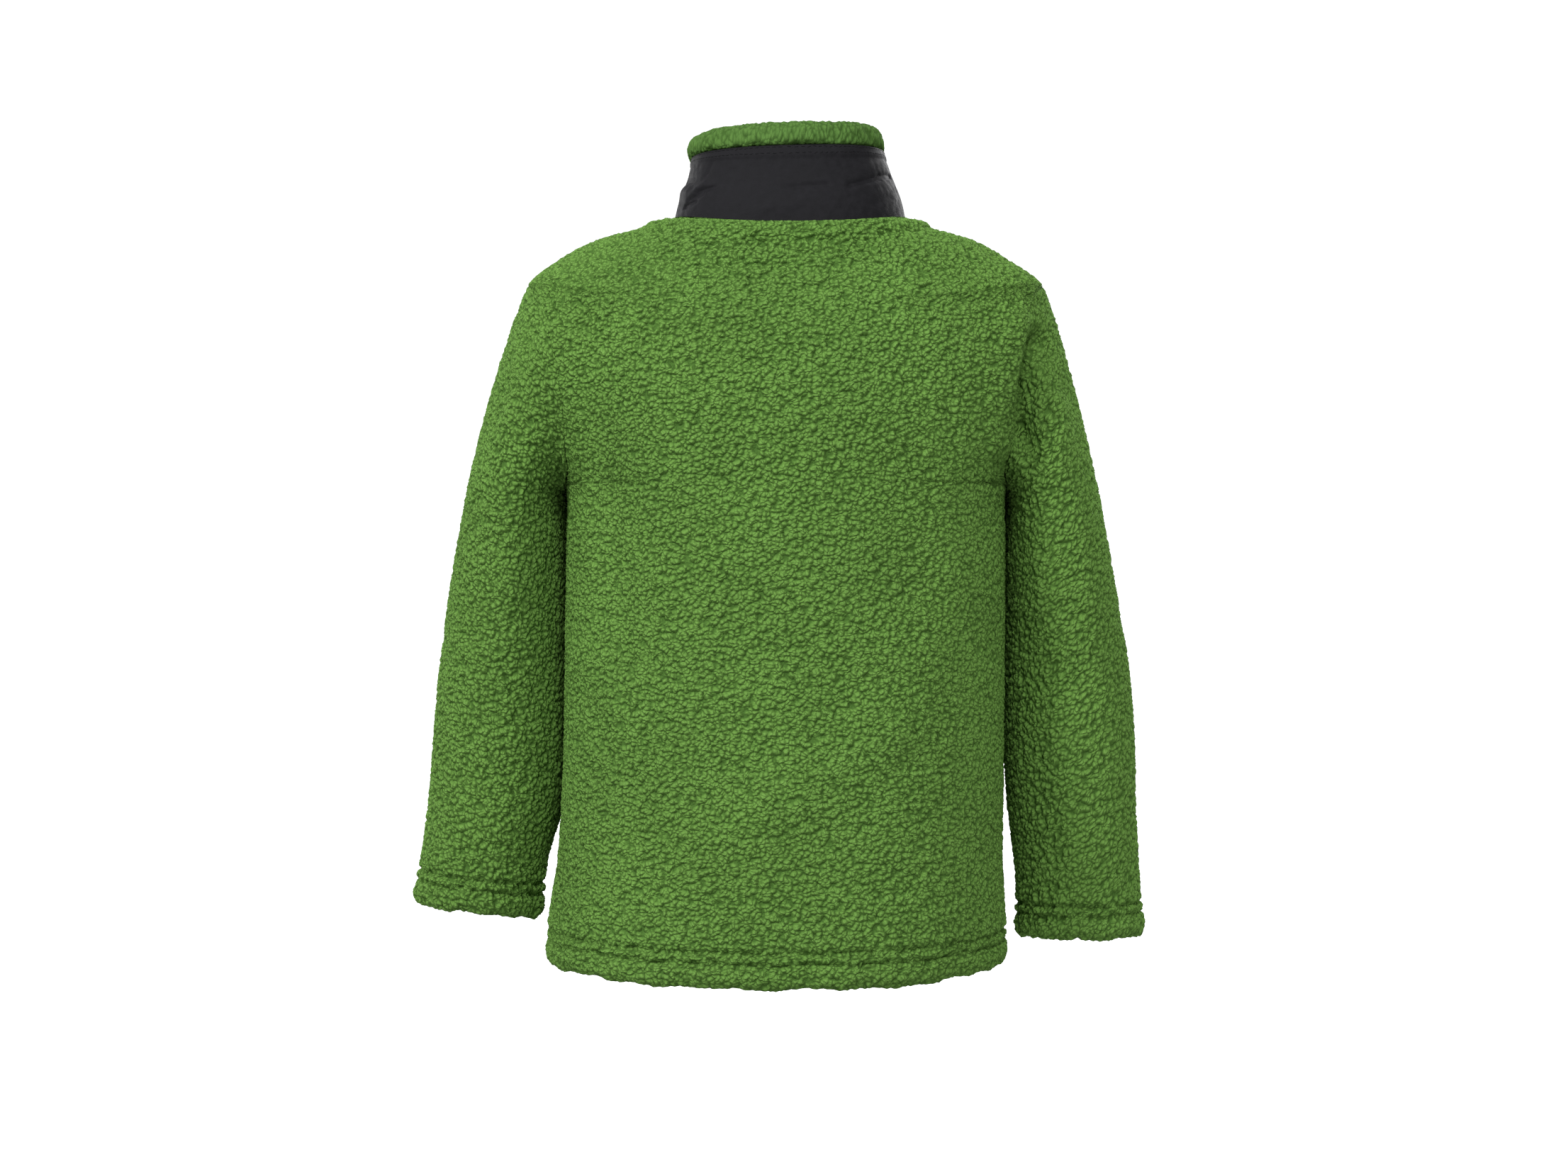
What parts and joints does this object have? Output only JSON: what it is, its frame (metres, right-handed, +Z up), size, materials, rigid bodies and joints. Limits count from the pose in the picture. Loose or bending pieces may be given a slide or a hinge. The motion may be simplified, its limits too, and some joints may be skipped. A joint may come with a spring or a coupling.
{
  "type": "fleece jacket",
  "caption": "Child's long-sleeved pile fleece jacket with a stand collar and a front zip, hollow and filled out as when worn.",
  "frame": {"origin": "middle of the neck opening, level with the shoulder points beside the neck, where a wearer holds the jacket up", "axes": "+Z up, front of the jacket towards -Y, back towards +Y, the wearer's left towards +X"},
  "size_m": [0.4402, 0.1966, 0.4948],
  "materials": {
    "fleece": "green curly pile fleece",
    "collar_nylon": "black woven nylon, slight sheen",
    "zip_tape": "black herringbone tape",
    "zip_plastic": "black moulded teeth",
    "zip_metal": "black enamelled zinc"
  },
  "bodies": {
    "jacket": {"back": "fleece", "front_left": "fleece", "front_right": "fleece", "sleeve_left": "fleece", "sleeve_right": "fleece", "collar_shell": "collar_nylon", "collar_lining": "fleece", "zip_tape_left": "zip_tape", "zip_tape_right": "zip_tape", "zip_chain": "zip_plastic", "zip_box": "zip_plastic", "zip_slider": "zip_metal"},
    "pull_tab": {"zip_pull": "zip_metal"}
  },
  "joints": [
    {"name": "pull_hinge", "type": "hinge", "parent": "jacket", "child": "pull_tab", "pos_m": [0, -0.0657, -0.0295], "axis": [-1, 0, 0], "range_deg": [0, 140]}
  ]
}
